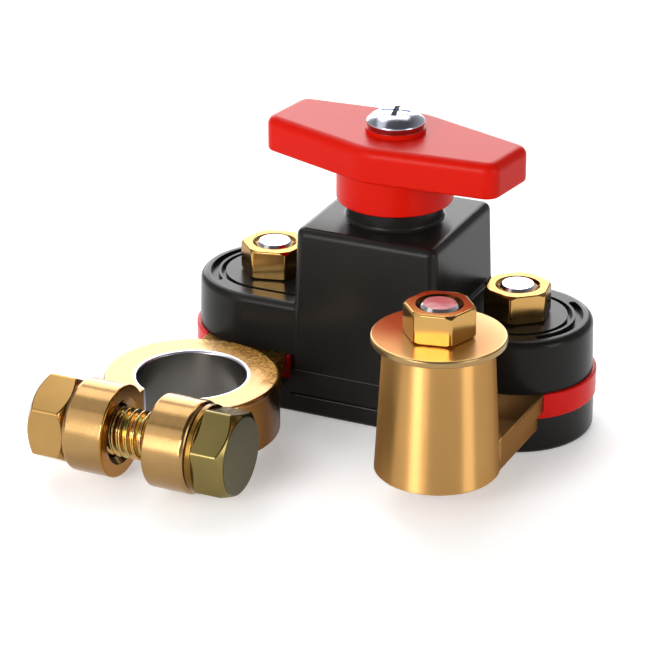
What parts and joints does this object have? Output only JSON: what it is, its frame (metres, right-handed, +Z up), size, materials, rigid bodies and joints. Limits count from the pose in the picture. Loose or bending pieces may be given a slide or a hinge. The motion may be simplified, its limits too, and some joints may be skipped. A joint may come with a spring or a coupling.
{
  "type": "rotary battery disconnect switch",
  "caption": "Rotary battery disconnect switch with a red handle, a battery clamp on one side and a taper post on the other.",
  "frame": {"origin": "underside of the base, on the axis the handle turns about", "axes": "+Z up along the handle's axis, +X from the clamp side to the post side, both terminals stand out towards -Y"},
  "size_m": [0.0751, 0.067, 0.0508],
  "materials": {
    "black_plastic": "moulded, satin",
    "red_band": "moulded, satin gloss",
    "red_handle": "moulded, satin gloss",
    "rotor_plastic": "moulded, satin",
    "cast_brass": "cast, lightly polished",
    "turned_brass": "turned, polished",
    "nut_brass": "polished",
    "copper": "rolled copper strip",
    "zinc_yellow": "steel, yellow-olive zinc plating",
    "stud_steel": "nickel plated steel",
    "chrome_screw": "chromed steel",
    "spring_steel": "drawn spring steel",
    "seal_rubber": "moulded rubber"
  },
  "bodies": {
    "housing": {"base_cover": "black_plastic", "insulator_plate": "red_band", "upper_housing": "black_plastic", "clamp_terminal": "cast_brass", "post_terminal": "turned_brass", "post_washer": "nut_brass", "post_stud": "nut_brass", "post_nut": "nut_brass", "clamp_washer": "zinc_yellow", "clamp_bolt": "zinc_yellow", "clamp_nut": "nut_brass", "contact_plate_left": "copper", "contact_plate_right": "copper", "terminal_stud_left": "stud_steel", "terminal_stud_right": "stud_steel", "stud_nut_left": "nut_brass", "stud_nut_right": "nut_brass", "cover_screw_1": "spring_steel", "cover_screw_2": "spring_steel", "cover_screw_3": "spring_steel", "cover_screw_4": "spring_steel"},
    "rotor": {"rotor": "rotor_plastic", "shaft_seal": "seal_rubber", "contact_bridge": "copper", "contact_spring": "spring_steel", "handle": "red_handle", "handle_screw": "chrome_screw"}
  },
  "joints": [
    {"name": "handle_turn", "type": "hinge", "parent": "housing", "child": "rotor", "pos_m": [0, 0, 0.0425], "axis": [0, 0, 1], "range_deg": [0, 90]}
  ]
}
